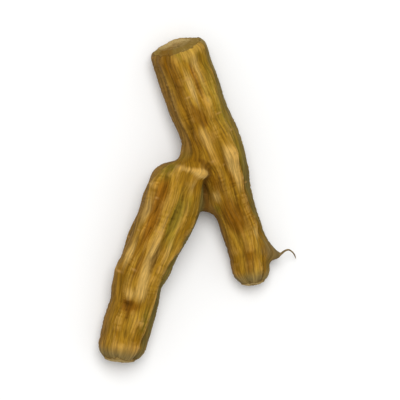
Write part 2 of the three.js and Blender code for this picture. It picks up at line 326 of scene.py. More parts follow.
# %% Distance from the skin of the whole root
NEAR = 4.5  # millimetres from a limb's middle line, past which its skin isn't worked out
BLEND_WIDE, BLEND_TIGHT, BLEND_ROOTLET, BLEND_WEB = 1.1, 0.45, 0.5, 0.6
CREVICE = {"depth": 0.14, "breadth": 0.5, "floor": 1.7, "clear": 2.7,
           "x": (0.4, 1.1), "y": (-1.3, -0.6, 2.1, 2.9)}
# The notch is where the corner over the side root is filled out
NOTCH = {"x": (-0.7, 0.3), "y": (1.6, 2.4), "more": 0.5}


def limb_distance(limb, points):
    """Millimetres outside a limb's skin, or a large number where the limb is far away."""
    chord = unit(limb.middle[-1] - limb.middle[0])
    rough = np.interp(points @ chord, limb.middle @ chord, limb.along)
    near = np.linalg.norm(points - limb.at(limb.middle, rough), axis=1) < NEAR
    distance = np.full(len(points), NEAR)
    distance[near] = limb_places(limb, points[near])["distance"]
    return distance


def rounded_min(a, b, corner):
    """The smaller of two distances, with the corner between them rounded, and the share of b in it."""
    mix = np.clip(0.5 + 0.5 * (a - b) / corner, 0, 1)
    return a * (1 - mix) + b * mix - corner * mix * (1 - mix), mix


def root_distance(points):
    """Millimetres outside the skin of the whole root, with the shares of side root and rootlet in it."""
    a, b, c, d = (limb_distance(limb, points) for limb in (main, side, rootlet, web))
    x, y, z = (points - FRAME_SHIFT).T
    tight = smooth_step(z, CREVICE["floor"], CREVICE["clear"]) * smooth_step(x, *CREVICE["x"])
    tight *= smooth_step(y, *CREVICE["y"][:2]) * (1 - smooth_step(y, *CREVICE["y"][2:]))
    notch = (1 - smooth_step(x, *NOTCH["x"])) * smooth_step(y, *NOTCH["y"])
    corner = BLEND_WIDE + (BLEND_TIGHT - BLEND_WIDE) * tight + NOTCH["more"] * notch
    whole, side_share = rounded_min(a, b, corner)
    whole += CREVICE["depth"] * tight * bell((a - b) / CREVICE["breadth"])
    whole, _ = rounded_min(whole, d, BLEND_WEB)
    whole, rootlet_share = rounded_min(whole, c, BLEND_ROOTLET)
    return whole, side_share, rootlet_share


# %% [markdown]
# ### From rough shape to fine mesh
# Each limb starts as a closed tube of rings. Voxel remeshing joins the tubes into one even mesh of
# small squares, with nothing left inside. It knows nothing of the marks, so each point then moves
# along its own normal until its distance to the root is nought, and is evened out on the way. In the
# narrow gap over the side root that would fold a fine mesh over itself, so it is done twice: coarse
# first, which closes the gap, and then fine on the result. Joining the limbs with a Boolean would
# be quicker, but leaves long thin faces at the fork, on which fine wrinkles can't be put.

# %% Closed tubes of rings
RINGS, RING_POINTS = 60, 48
RIM_STEP = 15  # degrees between the rings over a rounded rim


def tube(limb):
    """Points and faces of a closed tube round a limb, with its ends leaning and rounded as the limb's are."""
    over_rim = np.radians(np.arange(0, 90, RIM_STEP))
    part = np.r_[0 * over_rim, np.linspace(0, 1, RINGS), 0 * over_rim + 1]
    rounding = np.r_[over_rim, np.full(RINGS, np.pi / 2), over_rim[::-1]]
    turn = np.linspace(0, 2 * np.pi, RING_POINTS, endpoint=False)
    start, inset = [], 0
    for end, half, near in zip(ENDS[limb], limb.half[[0, -1]], (1 - part, part)):
        lean = end["lean_up"] * half[1] * (1 + np.sin(turn)) + end["lean_right"] * half[0] * np.cos(turn)
        start.append(lean[None] + (end["rim"] * (1 - np.cos(rounding)))[:, None])
        inset = inset + end["rim"] * (1 - np.sin(rounding)) * (near == 1)
    part, inset = part[:, None], inset[:, None]
    along = (start[0] * (1 - part) + (limb.length - start[1]) * part).ravel()
    _, right, up = limb.directions(along)
    half = limb.at(limb.half, along) - np.repeat(inset, RING_POINTS, axis=1).reshape(-1, 1)
    turn = np.tile(turn, len(part))
    points = limb.at(limb.middle, along) + (np.cos(turn) * half[:, 0])[:, None] * right
    points += (np.sin(turn) * half[:, 1])[:, None] * up
    corner = np.arange(len(points)).reshape(-1, RING_POINTS)
    nexts = np.roll(corner, -1, axis=1)
    quads = np.stack([corner[:-1], corner[1:], nexts[1:], nexts[:-1]], axis=-1).reshape(-1, 4)
    return points, [*quads.tolist(), corner[0].tolist(), corner[-1][::-1].tolist()]


def put(name, data):
    """A new object in the scene that shows the given mesh, light or camera."""
    made = bpy.data.objects.new(name, data)
    bpy.context.scene.collection.objects.link(made)
    return made


def mesh_object(name, points, faces):
    mesh = bpy.data.meshes.new(name)
    mesh.from_pydata(points.tolist(), [], faces)
    return put(name, mesh)


points, faces = [], []
for limb in (main, side, rootlet, web):
    some, polygons = tube(limb)
    faces += [[len(points) + i for i in polygon] for polygon in polygons]
    points += some.tolist()
skin = mesh_object("root_skin", np.array(points), faces)
print("tubes:", len(points), "points,", len(faces), "faces")

# %% Arrays of a mesh, and moving its points
def read(mesh):
    points = np.empty(3 * len(mesh.vertices), np.float32)
    mesh.vertices.foreach_get("co", points)
    edges = np.empty(2 * len(mesh.edges), np.int32)
    mesh.edges.foreach_get("vertices", edges)
    return points.reshape(-1, 3).astype(float), edges.reshape(-1, 2)


def write(mesh, points):
    mesh.vertices.foreach_set("co", points.astype(np.float32).ravel())
    mesh.update()


def normals(mesh, points):
    write(mesh, points)
    made = np.empty(3 * len(mesh.vertices), np.float32)
    mesh.vertex_normals.foreach_get("vector", made)
    return made.reshape(-1, 3).astype(float)


def neighbours_mean(values, edges):
    """The mean of the values at each point's neighbours."""
    a, b = edges.T
    count = np.bincount(a, minlength=len(values)) + np.bincount(b, minlength=len(values))
    columns = values.reshape(len(values), -1).T
    sums = [np.bincount(a, c[b], len(values)) + np.bincount(b, c[a], len(values)) for c in columns]
    return (np.column_stack(sums) / count[:, None]).reshape(values.shape)


# %% Remesh and move onto the form, first coarse and then fine
VOXELS = (0.24, 0.0805)  # millimetres
STEPS, EVEN_STEPS, LONGEST_STEP = 12, 8, 0.15
EVENING = 0.5  # how far a point goes towards the mean of its neighbours
WELL_ON = 0.02  # millimetres


def remesh(piece, voxel):
    modifier = piece.modifiers.new("one_skin", "REMESH")
    modifier.mode, modifier.voxel_size = "VOXEL", voxel
    bpy.context.view_layer.update()
    evened = bpy.data.meshes.new_from_object(piece.evaluated_get(bpy.context.evaluated_depsgraph_get()))
    piece.modifiers.clear()
    piece.data = evened


for voxel in VOXELS:
    remesh(skin, voxel)
    place, edges = read(skin.data)
    for step in range(STEPS):
        if step < EVEN_STEPS:
            place += EVENING * (neighbours_mean(place, edges) - place)
        distance, side_share, rootlet_share = root_distance(place)
        place -= np.clip(distance, -LONGEST_STEP, LONGEST_STEP)[:, None] * normals(skin.data, place)
    write(skin.data, place)
    off = np.abs(root_distance(place)[0])
    print("voxel", voxel, "mm:", len(place), "points, farthest from the form in mm:", round(off.max(), 3),
          "and farther than", WELL_ON, "mm:", int((off > WELL_ON).sum()))

# %% [markdown]
# ## Fine wrinkles
# Under a lens the skin is never smooth. Between the furrows run finer folds that part and join, like
# the lines in a palm, and thin rings cross them where the root shrank along its length. Such lines
# come from noise that is stretched along the grain: where the noise passes through nought, the skin
# is folded in. The noise is taken round the limb on a circle, so it closes on itself. A Displace
# modifier could do it too, but its textures know nothing of a bent limb's grain.

# %% Folds of two sizes, rings, lumps and grit, in millimetres
GRAIN_RADIUS = 2.0
SWAY = {"turn": 0.2, "around": 1.7, "along": 2.4}
FOLDS = [
    {"depth": 0.07, "around": 0.66, "along": 5.0, "thickness": 0.15},
    {"depth": 0.036, "around": 0.34, "along": 2.8, "thickness": 0.17},
]
FOLD_STRENGTH = 0.65  # on average, as each fold is deeper in some places than in others
FOLD_EDGE = 1.4  # a higher power would give a fold steeper sides
RING = {"depth": 0.045, "around": 2.8, "along": 0.36, "thickness": 0.13}
RINGED = (-0.1, 0.25)  # values of the noise between which a stretch becomes ringed
LUMPS = {"height": 0.1, "around": 1.4, "along": 2.6}
GRIT = {"height": 0.012, "size": 0.16}
CROWDED = (0.3, 0.8)  # shares of the radius over which wrinkles come in, as the middle has no room
# Each noise is taken from a place of its own, so that no two of them are alike
SHIFTS = {"lumps": 5, "strength": 11, "folds": 17, "ringed": 41, "rings": 53}


def grain_place(place, sway=0.0):
    """A point's place on a straightened limb: two directions across the grain, and one along it."""
    angle = place["angle"] + sway
    return np.column_stack([GRAIN_RADIUS * np.cos(angle), GRAIN_RADIUS * np.sin(angle), place["along"]])


def stretched(grain, mark, shift):
    """Noise whose waves have a mark's size around the limb and along it."""
    return waves(grain / (mark["around"], mark["around"], mark["along"]) + shift)


def folded_in(value, thickness):
    """1 where the noise passes through nought, and next to nothing away from there."""
    return np.exp(-(np.abs(value) / thickness) ** FOLD_EDGE)


def wrinkles(place, seed):
    """Height of the fine wrinkles of one limb."""
    sway = SWAY["turn"] * stretched(grain_place(place), SWAY, seed)
    grain = grain_place(place, sway)
    height = LUMPS["height"] * stretched(grain, LUMPS, seed + SHIFTS["lumps"])
    for number, fold in enumerate(FOLDS):
        strength = FOLD_STRENGTH + stretched(grain, LUMPS, seed + SHIFTS["strength"] + number)
        lines = folded_in(stretched(grain, fold, seed + SHIFTS["folds"] * number), fold["thickness"])
        height -= fold["depth"] * strength * lines
    ringed = smooth_step(stretched(grain, LUMPS, seed + SHIFTS["ringed"]), *RINGED)
    lines = folded_in(stretched(grain, RING, seed + SHIFTS["rings"]), RING["thickness"])
    height -= RING["depth"] * ringed * lines
    return height * smooth_step(np.linalg.norm(place["across"], axis=1), *CROWDED)


# %% [markdown]
# ## Scars and pores
# A lost rootlet leaves a round scar: a swelling with a torn pit in it. Smaller pores, which let the
# living root breathe, are short pale bars that lie across the grain. They could be pieces of their
# own, but they have grown in the skin, so they are worked out as heights of the same mesh.

# %% Pits of the scars, and pores scattered over both limbs
PIT = {"depth": 0.2, "size": 0.4}  # size is a share of the scar's radius
PORE = {"height": 0.045, "along": 0.07, "around": 0.19, "every_mm2": 9.0}
SMALLEST_PORE = 0.5  # of the breadth above; the largest has one and a half times that breadth
dice = np.random.default_rng(7)


def pits(limb, place):
    """Depth of the pits, and a mask of the torn skin in them."""
    torn = np.zeros(len(place["along"]))
    for scar in MARKS[limb]["scars"]:
        away = scar_distance(limb, scar, place["share"], np.degrees(place["angle"]))
        torn = np.maximum(torn, bell(away / (PIT["size"] * scar[3])))
    return -PIT["depth"] * torn, torn


def pores(limb, place):
    """Mask of the pores on one limb."""
    count = int(limb.length * 2 * np.pi * GRAIN_RADIUS / PORE["every_mm2"])
    mask = np.zeros(len(place["along"]))
    for at, turn, size in dice.random((count, 3)):
        along = (place["along"] - at * limb.length) / PORE["along"]
        around = np.radians(turn_between(np.degrees(place["angle"]), 360 * turn)) * GRAIN_RADIUS
        mask = np.maximum(mask, bell(along) * bell(around / (PORE["around"] * (SMALLEST_PORE + size))))
    return mask


# %% [markdown]
# ## Cut ends
# A dried root's cut shows how it grew. A thin ring, the cambium, parts the wood in the middle from
# the softer bark outside it. The bark shrinks more, so it sinks and the ring stands up, and cracks
# open from the middle outwards. A flat cap with a picture on it would do from afar, but not in a low
# light. So each mark of the cut is a height here, at a share of the radius: 0 is the middle and 1
# the skin.

# %% Height of a cut face
CAMBIUM = 0.6
BARK_SINK = {"depth": 0.1, "middle": 0.8, "breadth": 0.13}
RING_STAND = {"height": 0.05, "breadth": 0.06}
CRACKS = {"count": 7, "depth": 0.16, "width": 0.055, "reach": 0.66, "shortest": 0.5, "astray": 0.6,
          "crook": 0.06, "bends": 9.0, "crook_shift": 6.0, "opens": (0.02, 0.12), "closes": 0.6}
ROUGH = [(0.035, 0.32), (0.02, 0.13)]  # height and size of the tears, in millimetres


def cut_height(place, points, seed):
    """Height of the flesh at a cut, as if the whole limb were cut there."""
    x, y = place["across"].T
    radius = np.hypot(x, y)
    height = RING_STAND["height"] * bell((radius - CAMBIUM) / RING_STAND["breadth"])
    height -= BARK_SINK["depth"] * bell((radius - BARK_SINK["middle"]) / BARK_SINK["breadth"])
    turns = np.random.default_rng(seed).random((CRACKS["count"], 2))
    for number, (jitter, size) in enumerate(turns):
        turn = 2 * np.pi * (number + CRACKS["astray"] * jitter) / CRACKS["count"]
        crooked = CRACKS["crook"] * np.sin(CRACKS["bends"] * radius + CRACKS["crook_shift"] * jitter)
        off = GRAIN_RADIUS * (x * np.sin(turn + crooked) - y * np.cos(turn + crooked))
        ahead = x * np.cos(turn) + y * np.sin(turn)
        reach = CRACKS["reach"] * (CRACKS["shortest"] + (1 - CRACKS["shortest"]) * size)
        open_part = smooth_step(ahead, *CRACKS["opens"])
        open_part *= 1 - smooth_step(ahead, CRACKS["closes"] * reach, reach)
        height -= CRACKS["depth"] * open_part * bell(off / CRACKS["width"])
    for tall, wide in ROUGH:
        height += tall * waves(points / wide + seed)
    return height


# %% Fine relief of each limb
SEEDS = {main: 3, side: 71}
CUT_FROM, CUT_EDGE = 52.0, 3.0  # degrees of turn over the rim at which the flesh begins
TEARS = {"degrees": 14.0, "size": 0.35}  # how ragged that edge is
places = {limb: limb_places(limb, place) for limb in SEEDS}
ragged = TEARS["degrees"] * waves(place / TEARS["size"])
fine, cut, torn, pored = {}, {}, {}, {}
for limb, seed in SEEDS.items():
    here = places[limb]
    inside = here["cutness"] + ragged
    cut[limb] = smooth_step(inside, CUT_FROM - CUT_EDGE, CUT_FROM + CUT_EDGE)
    pit, torn[limb] = pits(limb, here)
    pored[limb] = pores(limb, here) * (1 - cut[limb])
    skin_height = wrinkles(here, seed) + pit + PORE["height"] * pored[limb]
    flesh_height = cut_height(here, place, seed)
    fine[limb] = skin_height * (1 - cut[limb]) + flesh_height * cut[limb]
print("points on the cuts, main and side root:", [int((cut[limb] > 0.5).sum()) for limb in SEEDS])

# %% Put it on the skin
PRESSED = {"height": 0.5, "relief": 0.3}  # the underside stays flatter where the root rests


def over_both(values):
    """One value at each point, from those of the main and of the side root."""
    return values[main] * (1 - side_share) + values[side] * side_share


height = over_both(fine) + GRIT["height"] * waves(place / GRIT["size"])
free = smooth_step(place[:, 2], 0.0, PRESSED["height"])
height *= PRESSED["relief"] + (1 - PRESSED["relief"]) * free
place += height[:, None] * normals(skin.data, place)
place[:, 2] = np.maximum(place[:, 2], 0)
print("fine relief in mm, lowest and highest:", round(height.min(), 3), round(height.max(), 3))

# %% [markdown]
# ## What the finish needs to know
# Dirt lies in folds and crests are rubbed pale, so the material has to know which is which. Geometry's
# Pointiness would tell, but only in one renderer and only for the nearest points. So each point is
# compared with the mean of its surroundings, near and far: below it is a fold, above it a crest.
# These values, the grain's directions and the masks are kept in the mesh as attributes.

# %% Folds and crests, near and far
NEAR_ROUNDS, FAR_ROUNDS = 5, 70


def stand(points, rounds, outwards):
    """Millimetres that each point stands out of the mean of its surroundings."""
    mean = points
    for _ in range(rounds):
        mean = neighbours_mean(mean, edges)
    return ((points - mean) * outwards).sum(1)


outwards = normals(skin.data, place)
stand_near, stand_far = (stand(place, rounds, outwards) for rounds in (NEAR_ROUNDS, FAR_ROUNDS))
print("stand in mm, near and far:", np.percentile(stand_near, (2, 50, 98)).round(3),
      np.percentile(stand_far, (2, 50, 98)).round(3))

# %% [markdown]
# ### Patches of colour
# The skin isn't one brown. Some stretches are rubbed pale, some are yellow as straw, and some are stained
# brown, orange or olive. The long olive spots low on the flanks are painted shade, and two pale spots hold a
# painted highlight as well. Each patch is a soft spot with a place, a size and a strength.
# Painting would be freer, but this way the skin can be remade at any fineness. The flanks get painted
# shade, brown on the left and olive on the right, and the feet's rims get painted grey shade.

# %% Patches: share of the limb, angle, reach along it in mm, reach round it in degrees, strength
MAIN_PATCHES = {
    # The spot at share 0.45 and 69 degrees, on a ridge, is pale skin with a painted highlight on it
    "pale": [
        (0.145, 95, 1.3, 9, 0.8), (0.075, 68, 0.7, 12, 0.5), (0.12, 64, 0.9, 10, 0.5),
        (0.19, 62, 1.0, 10, 0.15), (0.34, 107, 1.4, 11, 0.65), (0.45, 69, 1.1, 13, 1.5),
        (0.565, 137, 0.5, 13, 0.8), (0.52, 64, 0.9, 10, 0.7), (0.75, 54, 0.6, 18, 0.6)],
    "brown": [
        (0.03, 150, 1.0, 26, 0.9), (0.08, 122, 1.6, 18, 0.7), (0.13, 118, 1.2, 13, 0.35),
        (0.2, 132, 2.2, 18, 0.5), (0.222, 106, 0.6, 8, 1.0), (0.25, 99, 0.6, 9, 1.0),
        (0.27, 93, 0.6, 9, 0.8), (0.33, 122, 1.5, 12, 0.6), (0.5, 112, 1.6, 20, 0.5),
        (0.655, 107, 1.4, 28, 1.8), (0.36, 150, 2.5, 22, 0.35), (0.515, 128, 0.6, 12, 0.6),
        (0.15, 80, 0.8, 8, 0.9), (0.87, 92, 1.3, 28, 0.6), (0.93, 106, 0.6, 22, 0.5),
        (0.23, 88, 0.8, 9, 0.4)],
    # The olive spots 5 mm long or longer, low on the flanks, are painted shade
    "olive": [
        (0.14, 42, 2.6, 20, 0.4), (0.3, 40, 3.0, 20, 0.7), (0.0, 104, 0.9, 90, 1.3),
        (0.95, 92, 0.6, 34, 1.0), (0.46, 30, 1.2, 16, 0.6), (0.62, 18, 3.5, 22, 0.4),
        (0.3, 215, 6.0, 30, 0.4), (0.4, 0, 14.0, 32, 0.35), (0.61, 146, 0.4, 14, 0.8),
        (0.375, 168, 0.7, 16, 0.9)],
    "orange": [
        (0.52, 80, 1.3, 14, 0.5), (0.655, 107, 1.2, 22, 0.85), (0.105, 80, 0.8, 9, 0.8),
        (0.84, 92, 1.4, 32, 0.6)],
    "straw": [
        (0.04, 76, 0.7, 24, 0.9), (0.18, 67, 1.3, 9, 0.6), (0.18, 46, 1.5, 10, 0.5),
        (0.31, 76, 1.2, 10, 0.35)],
}
SIDE_PATCHES = {
    # The spot at share 0.035 and 43 degrees, on the shoulder's lip, is pale skin with a painted highlight on
    # it
    "pale": [
        (0.035, 43, 0.5, 24, 1.6), (0.045, 96, 0.4, 24, 0.6), (0.14, 58, 1.2, 9, 0.5),
        (0.4, 96, 1.6, 8, 0.6), (0.53, 90, 1.7, 11, 1.0), (0.52, 147, 1.3, 12, 0.8),
        (0.31, 148, 1.2, 12, 0.8), (0.44, 62, 1.0, 9, 0.4), (0.66, 84, 1.1, 13, 0.7),
        (0.68, 112, 0.5, 14, 0.7), (0.94, 90, 0.35, 40, 0.4)],
    "brown": [
        (0.2, 118, 0.9, 12, 0.6), (0.745, 110, 0.5, 24, 0.7), (0.745, 84, 0.4, 12, 0.5),
        (0.79, 104, 0.8, 6, 0.9), (0.55, 110, 1.2, 9, 0.9), (0.97, 120, 0.6, 60, 0.3)],
    # The olive spots 5 mm long or longer, low on the flanks, are painted shade
    "olive": [
        (0.225, 56, 0.8, 10, 0.5), (0.32, 66, 1.0, 8, 0.35), (0.41, 65, 1.0, 9, 0.3),
        (0.44, 62, 1.0, 9, 0.4), (0.81, 57, 1.2, 14, 0.8), (0.27, 76, 1.2, 10, 0.9),
        (0.35, 80, 1.1, 9, 0.75), (0.07, 133, 0.8, 28, 1.0), (0.13, 125, 0.8, 15, 0.7),
        (0.5, 25, 6.0, 22, 0.4), (0.6, 210, 5.0, 30, 0.4), (0.6, 5, 12.0, 36, 0.55)],
    "orange": [
        (0.745, 112, 0.7, 24, 1.0), (0.28, 123, 2.4, 18, 1.2), (0.5, 128, 2.0, 16, 0.4),
        (0.86, 100, 1.3, 34, 0.3)],
    "straw": [
        (0.32, 67, 1.0, 8, 0.4), (0.41, 65, 1.0, 9, 0.4)],
}
for limb_name, patches in (("main root", MAIN_PATCHES), ("side root", SIDE_PATCHES)):
    print(limb_name, "has patches:", {name: len(spots) for name, spots in patches.items()})

# %% Masks of the patches
SPREAD = (0.0, 0.34)  # shares of the radius over which a patch comes in from the middle of a cut


def patch_mask(limb, patches, place):
    """The patches of one colour on one limb, from 0 to 1."""
    angle = np.degrees(place["angle"])
    spots = [strength * bell((place["share"] - at) * limb.length / length)
             * bell(turn_between(angle, turn) / breadth) for at, turn, length, breadth, strength in patches]
    off_middle = smooth_step(np.linalg.norm(place["across"], axis=1), *SPREAD)
    return np.clip(sum(spots), 0, 1) * off_middle


# %% The crotch, where both limbs are near, which gets painted shade
CROTCH = {"breadth": 0.42, "x": (-0.2, 1.0), "top": 0.25}
crotch = bell((limb_distance(main, place) - limb_distance(side, place)) / CROTCH["breadth"])
crotch *= CROTCH["top"] + (1 - CROTCH["top"]) * smooth_step(place[:, 0] - FRAME_SHIFT[0], *CROTCH["x"])
print("points in the crotch:", int((crotch > 0.5).sum()))

# %% Painted shade on the flanks, and painted grey shade on the rims of the feet
# The flanks get painted shade: full below the first sine, none above the second
TOP = (0.2, 0.82)  # sine of the angle round the limb, from the flank to where the top begins
# The rims of the feet get painted grey shade over these degrees and shares
SHADED_RIM_DEGREES = (2, 40)  # degrees of turn over the rim of a foot
LOWER_PART = (0.5, 0.9)  # shares of the limb over which it becomes a foot


# Painted shade: 1 on the flanks and the underside, 0 on the top
def flank_shade_mask(place):
    return 1 - smooth_step(np.sin(place["angle"]), *TOP)


# Painted grey shade on the rims of the feet, which turn away from the lamp
def foot_rim_shade_mask(place):
    return smooth_step(place["share"], *LOWER_PART) * smooth_step(place["cutness"], *SHADED_RIM_DEGREES)


# %% Attributes on the mesh
def attribute(mesh, name, values):
    kind = "FLOAT" if values.ndim == 1 else "FLOAT_VECTOR"
    made = mesh.attributes.new(name, kind, "POINT")
    made.data.foreach_set("value" if kind == "FLOAT" else "vector", values.astype(np.float32).ravel())


for name in MAIN_PATCHES:
    masks = {main: patch_mask(main, MAIN_PATCHES[name], places[main]),
             side: patch_mask(side, SIDE_PATCHES[name], places[side])}
    attribute(skin.data, name, over_both(masks))

face = [over_both({limb: places[limb]["across"][:, axis] for limb in places}) for axis in (0, 1)]
MORE_VALUES = {
    "stand_near": stand_near,
    "stand_far": stand_far,
    "side_share": side_share,
    "rootlet_share": rootlet_share,
    # where painted shade goes in the crotch
    "crotch": crotch,
    # where painted shade goes on the flanks
    "flank": over_both({limb: flank_shade_mask(places[limb]) for limb in places}),
    # where painted grey shade goes on the rims of the feet
    "foot": over_both({limb: foot_rim_shade_mask(places[limb]) for limb in places}),
    "cut": over_both(cut),
    "torn": over_both(torn),
    "pored": over_both(pored),
    "grain_main": grain_place(places[main]),
    "grain_side": grain_place(places[side]),
    "face": np.column_stack([*face, place[:, 1]]),  # 0, 0 is the middle of the limb
}
for name, values in MORE_VALUES.items():
    attribute(skin.data, name, values)
print("attributes:", len(MAIN_PATCHES) + len(MORE_VALUES))

# %% The skin in metres, in place of the two solids
write(skin.data, place * MM)
skin.data.polygons.foreach_set("use_smooth", np.ones(len(skin.data.polygons), bool))
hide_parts("main_root", "side_root")
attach(skin, "root")
triangles = sum(len(polygon.vertices) - 2 for polygon in skin.data.polygons)
print("skin:", len(skin.data.vertices), "points,", triangles, "triangles")

# %% [markdown]
# ## The rootlet's thread
# The stump on the leg ends in a thread: what is left of a thin rootlet, shrivelled to a tenth of a
# millimetre. A Blender curve with a bevel could make it, but a ring of points carried along a path
# lets its thickness shrivel unevenly, and gives a plain closed mesh.

# %% A closed tube along a path
THREAD = np.array([  # x, y, height and radius in millimetres, from inside the stump to the tip
    (6.5, -4.42, 1.34, 0.2), (6.95, -4.47, 1.34, 0.15), (7.2, -4.38, 1.33, 0.1), (7.5, -4.16, 1.26, 0.075),
    (7.8, -4.1, 1.12, 0.065), (8.1, -4.26, 0.9, 0.055), (8.32, -4.52, 0.66, 0.05), (8.45, -4.8, 0.48, 0.03),
])
THREAD_RINGS, THREAD_SIDES = 90, 12
THREAD_SHRIVEL = {"height": 0.22, "around": 0.9, "along": 0.5}  # height is a share of the radius


def swept(path, rings, sides, shrivel):
    share = np.linspace(0, 1, rings)
    middle = through(path[:, :3], share) + FRAME_SHIFT
    radius = through(path[:, 3:], share)[:, 0]
    ahead = unit(np.gradient(middle, axis=0))
    right = unit(np.cross([0.0, 0.0, 1.0], ahead))
    up = np.cross(ahead, right)
    turn = np.linspace(0, 2 * np.pi, sides, endpoint=False)
    along = np.r_[0, np.cumsum(np.linalg.norm(np.diff(middle, axis=0), axis=1))]
    on_ring = [(np.cos(t) / shrivel["around"], np.sin(t) / shrivel["around"], at / shrivel["along"])
               for at in along for t in turn]
    uneven = 1 + shrivel["height"] * waves(np.array(on_ring)).reshape(rings, sides)
    radius = radius[:, None] * uneven
    points = middle[:, None] + (radius * np.cos(turn))[..., None] * right[:, None]
    points += (radius * np.sin(turn))[..., None] * up[:, None]
    corner = np.arange(rings * sides).reshape(rings, sides)
    nexts = np.roll(corner, -1, axis=1)
    quads = np.stack([corner[:-1], nexts[:-1], nexts[1:], corner[1:]], axis=-1).reshape(-1, 4)
    return points.reshape(-1, 3), [*quads.tolist(), corner[0][::-1].tolist(), corner[-1].tolist()]


points, faces = swept(THREAD, THREAD_RINGS, THREAD_SIDES, THREAD_SHRIVEL)
thread = mesh_object("rootlet_thread", points * MM, faces)
thread.data.polygons.foreach_set("use_smooth", np.ones(len(faces), bool))
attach(thread, "root")
print("thread:", len(points), "points, lowest", round(points[:, 2].min(), 2), "mm above the floor")

# %% [markdown]
# ## The finish
# The materials are worked out from noise and from the attributes, without any picture. Each larger
# effect is a node group with named inputs and outputs. It can be read by itself, and used along the
# grain of either limb or in the other material, each time with values of its own.

# %% Short ways to add nodes
def fill(tree, node, inputs):
    """Sets each named input of a node, or links it where the value comes from another node."""
    for socket, value in dict(inputs).items():
        if isinstance(value, bpy.types.NodeSocket):
            tree.links.new(value, node.inputs[socket])
        else:
            node.inputs[socket].default_value = value


def add(tree, kind, inputs=(), output=0, **settings):
    """Adds a node with its settings and inputs, and returns one of its outputs."""
    made = tree.nodes.new(kind)
    for name, value in settings.items():
        setattr(made, name, value)
    fill(tree, made, inputs)
    return made.outputs[output]


def sum_up(tree, operation, a, b=0.0, c=0.0):
    return add(tree, "ShaderNodeMath", {0: a, 1: b, 2: c}, operation=operation)


def between(tree, value, low, high, to_low=0.0, to_high=1.0):
    """Value, spread smoothly from low and high to the two given numbers."""
    inputs = {"Value": value, "From Min": low, "From Max": high, "To Min": to_low, "To Max": to_high}
    return add(tree, "ShaderNodeMapRange", inputs, interpolation_type="SMOOTHSTEP")


def colour_mix(tree, share, a, b, kind="MIX"):
    return add(tree, "ShaderNodeMix", {0: share, 6: a, 7: b}, output=2, data_type="RGBA", blend_type=kind)


def value_mix(tree, share, a, b):
    return add(tree, "ShaderNodeMix", {0: share, 2: a, 3: b})


def frayed(tree, mask, blots, amount, middle=0.5):
    """A mask with its edge broken up by noise, whose values lie about the given middle."""
    return sum_up(tree, "MULTIPLY_ADD", sum_up(tree, "SUBTRACT", blots, middle), amount, mask)


def from_mesh(tree, name, output="Fac"):
    return add(tree, "ShaderNodeAttribute", output=output, attribute_name=name)


def rgb(code):
    """A colour written as six hexadecimal digits, in the linear values that Blender mixes."""
    parts = [int(code[i:i + 2], 16) / 255 for i in (0, 2, 4)]
    return (*((c / 12.92 if c <= 0.04045 else ((c + 0.055) / 1.055) ** 2.4) for c in parts), 1.0)


# %% New groups and materials
def new_group(name, inputs, outputs):
    """A node group with sockets of the given kinds, and its input and output nodes."""
    group = bpy.data.node_groups.new(name, "ShaderNodeTree")
    for socket, kind in inputs.items():
        group.interface.new_socket(socket, in_out="INPUT", socket_type=f"NodeSocket{kind}")
    for socket, kind in outputs.items():
        group.interface.new_socket(socket, in_out="OUTPUT", socket_type=f"NodeSocket{kind}")
    return group, group.nodes.new("NodeGroupInput").outputs, group.nodes.new("NodeGroupOutput").inputs


def place_group(tree, group, inputs):
    made = tree.nodes.new("ShaderNodeGroup")
    made.node_tree = group
    fill(tree, made, inputs)
    return made.outputs


def new_material(name, constants):
    """A material, its nodes and its shader, with what is the same all over set on the shader."""
    made = bpy.data.materials.new(name)
    made.use_nodes = True
    shader = made.node_tree.nodes["Principled BSDF"]
    fill(made.node_tree, shader, constants)
    return made, made.node_tree, shader


# %% [markdown]
# ### Grain
# Fine streaks run along a root. The noise's place is squeezed along the grain, which draws its
# blots out into streaks. A second, finer noise gives the threads that the bump uses.

# %% Group: streaks along the grain
grain_group, got, give = new_group(
    "Streaks along the grain", {"Place": "Vector", "Fineness": "Float", "Stretch": "Float"},
    {"Streaks": "Float", "Threads": "Float"})
tree = grain_group
squeezed = add(tree, "ShaderNodeCombineXYZ", {
    "X": got["Fineness"], "Y": got["Fineness"],
    "Z": sum_up(tree, "DIVIDE", got["Fineness"], got["Stretch"])})
drawn = add(tree, "ShaderNodeVectorMath", {0: got["Place"], 1: squeezed}, operation="MULTIPLY")
streaks = add(tree, "ShaderNodeTexNoise", {
    "Vector": drawn, "Scale": 1.0, "Detail": 3.0, "Roughness": 0.6, "Distortion": 0.4})
threads = add(tree, "ShaderNodeTexNoise", {
    "Vector": drawn, "Scale": 3.1, "Detail": 4.0, "Roughness": 0.65, "Distortion": 0.2})
tree.links.new(streaks, give["Streaks"])
tree.links.new(threads, give["Threads"])
print(grain_group.name, "has", len(tree.nodes), "nodes")

# %% [markdown]
# ### Soil and wear
# Soil stays in the folds after washing, and the crests are rubbed. Both follow from how far a point
# stands out of its surroundings. Noise frays the edge, so that neither looks painted on.

# %% Group: soil in folds and wear on crests
NEAR_WEIGHT = 1.8  # a narrow fold holds more soil than a wide one as deep
SOIL_FROM, SOIL_FULL = -0.05, -0.26  # millimetres of stand, with the near one weighted
WEAR_FROM, WEAR_FULL = 0.035, 0.16

